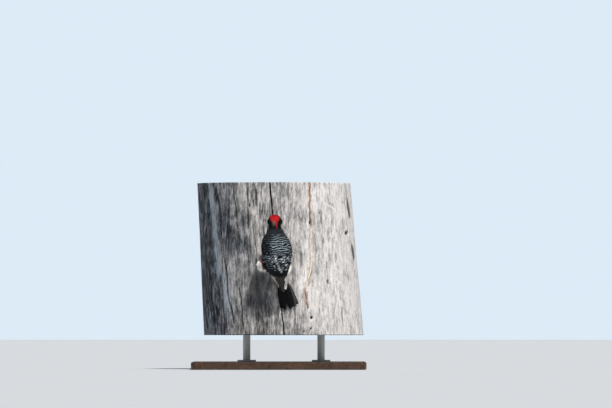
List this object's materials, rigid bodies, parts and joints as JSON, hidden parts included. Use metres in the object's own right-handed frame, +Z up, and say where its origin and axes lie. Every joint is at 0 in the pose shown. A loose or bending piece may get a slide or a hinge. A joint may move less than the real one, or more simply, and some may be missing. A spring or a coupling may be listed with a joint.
{
  "type": "woodpecker, still life-size model",
  "caption": "Life-size still model of a woodpecker clinging to a cut length of dead trunk, held on a flat base by short rods.",
  "frame": {"origin": "on the floor, under the middle of the display stand's base", "axes": "+Z up, +X to the bird's right, +Y from the bird's back towards the trunk it clings to"},
  "size_m": [0.28, 0.33, 0.3],
  "materials": {
    "crown_feathers": "matt feathers, red on the crown and nape and black on the face",
    "dark_feathers": "matt black feathers",
    "barred_feathers": "black feathers with narrow white bars and spots",
    "flight_feathers": "smooth black-brown vanes with a slight sheen",
    "pale_feathers": "soft whitish feathers with dusky bars",
    "horn": "satin dark grey horn",
    "eye": "glossy dark brown",
    "leg_scutes": "satin olive-grey scaly skin",
    "dead_wood": "weathered, barkless and silver-grey, with open drying cracks",
    "stand_wood": "dark oiled wood",
    "stand_rods": "brushed"
  },
  "bodies": {
    "root": {"bill_lower": "horn", "bill_upper": "horn", "claw_left_hallux": "horn", "claw_left_inner": "horn", "claw_left_middle": "horn", "claw_left_outer": "horn", "claw_right_hallux": "horn", "claw_right_inner": "horn", "claw_right_middle": "horn", "claw_right_outer": "horn", "eye_left": "eye", "eye_right": "eye", "head": "crown_feathers", "neck": "dark_feathers", "perch_log": "dead_wood", "stand_base": "stand_wood", "stand_rod_left": "stand_rods", "stand_rod_right": "stand_rods", "tail_feather_left_1": "flight_feathers", "tail_feather_left_2": "flight_feathers", "tail_feather_left_3": "flight_feathers", "tail_feather_left_4": "flight_feathers", "tail_feather_left_5": "flight_feathers", "tail_feather_right_1": "flight_feathers", "tail_feather_right_2": "flight_feathers", "tail_feather_right_3": "flight_feathers", "tail_feather_right_4": "flight_feathers", "tail_feather_right_5": "flight_feathers", "tarsus_left": "leg_scutes", "tarsus_right": "leg_scutes", "thigh_left": "pale_feathers", "thigh_right": "pale_feathers", "toe_left_hallux": "leg_scutes", "toe_left_inner": "leg_scutes", "toe_left_middle": "leg_scutes", "toe_left_outer": "leg_scutes", "toe_right_hallux": "leg_scutes", "toe_right_inner": "leg_scutes", "toe_right_middle": "leg_scutes", "toe_right_outer": "leg_scutes", "trunk": "barred_feathers", "wing_left": "barred_feathers", "wing_right": "barred_feathers", "wing_tip_left": "flight_feathers", "wing_tip_right": "flight_feathers"}
  },
  "joints": []
}
